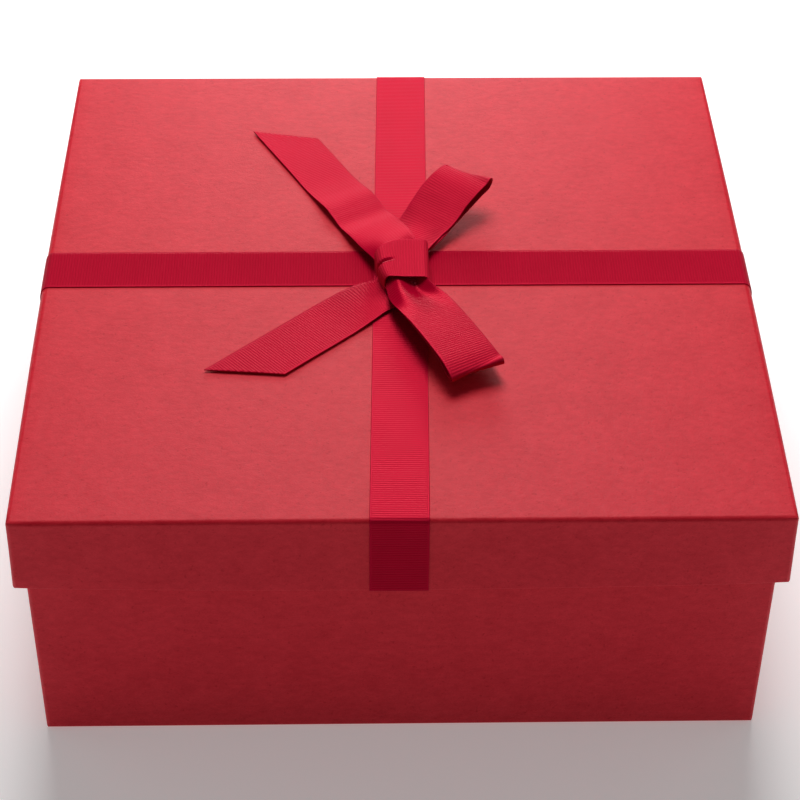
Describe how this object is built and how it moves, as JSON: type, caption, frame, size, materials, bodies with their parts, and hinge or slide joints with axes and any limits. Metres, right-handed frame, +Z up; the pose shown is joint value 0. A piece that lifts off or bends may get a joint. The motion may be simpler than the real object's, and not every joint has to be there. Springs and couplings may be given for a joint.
{
  "type": "gift box",
  "caption": "Square covered gift box: a paper-covered greyboard tray with a lift-off telescoping lid, crossed grosgrain bands and a tied bow.",
  "frame": {"origin": "under the middle of the tray, on the table", "axes": "+X to the right, +Y from front to back, +Z up; the box stands on its floor and the lid lifts along +Z"},
  "size_m": [0.311, 0.311, 0.1435],
  "materials": {
    "cover_paper": "matte, fine fibrous texture",
    "grosgrain": "ribbed woven ribbon with a soft sheen",
    "lining_paper": "matte",
    "greyboard": "matte",
    "corner_tape": "matte"
  },
  "bodies": {
    "base": {"base_board": "greyboard", "base_corner_stay_front_left": "corner_tape", "base_corner_stay_front_right": "corner_tape", "base_corner_stay_rear_left": "corner_tape", "base_corner_stay_rear_right": "corner_tape", "base_wrap": "cover_paper", "base_bottom_sheet": "cover_paper", "base_liner": "lining_paper"},
    "lid": {"lid_board": "greyboard", "lid_corner_stay_front_left": "corner_tape", "lid_corner_stay_front_right": "corner_tape", "lid_corner_stay_rear_left": "corner_tape", "lid_corner_stay_rear_right": "corner_tape", "lid_wrap": "cover_paper", "lid_liner": "lining_paper", "crosswise_ribbon": "grosgrain", "lengthwise_ribbon": "grosgrain", "bow_knot": "grosgrain", "bow_rear_loop": "grosgrain", "bow_front_loop": "grosgrain", "bow_rear_tail": "grosgrain", "bow_front_tail": "grosgrain"}
  },
  "joints": [
    {"name": "lid_lift", "type": "slide", "parent": "base", "child": "lid", "axis": [0, 0, 1], "range_m": [0, 0.18]}
  ]
}
